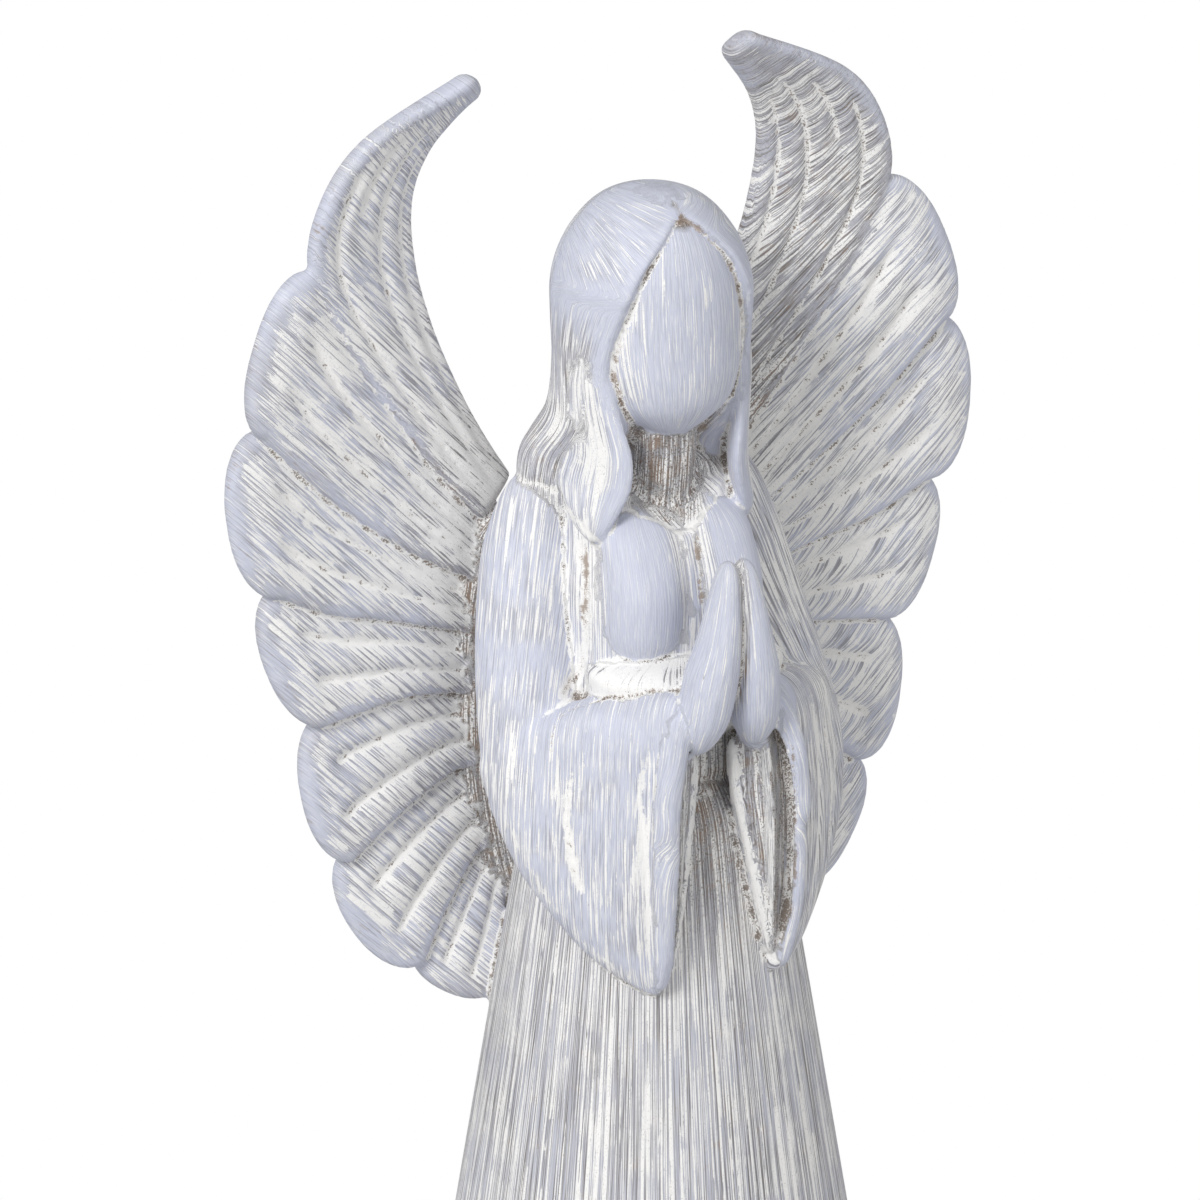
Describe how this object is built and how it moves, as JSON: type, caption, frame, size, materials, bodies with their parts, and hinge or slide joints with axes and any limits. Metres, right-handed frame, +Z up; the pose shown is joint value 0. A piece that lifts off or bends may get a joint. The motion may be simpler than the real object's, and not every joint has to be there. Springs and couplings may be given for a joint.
{
  "type": "angel statue",
  "caption": "Praying angel in a long gown with bell sleeves, a smooth blank face and raised feathered wings, cast in one piece on a low round base, in whitewashed lavender grey.",
  "frame": {"origin": "middle of the flat underside of the base", "axes": "+Z up; the angel faces -Y, its left hand is at +X, and the two halves mirror each other across the YZ plane"},
  "size_m": [0.2835, 0.187, 0.5233],
  "materials": {
    "whitewashed_stone": "matt lavender-grey paint over cast stone resin, brushed with white along the folds and feathers, brown-grey dirt in the recesses"
  },
  "bodies": {
    "root": {"angel_statue": "whitewashed_stone"}
  },
  "joints": []
}
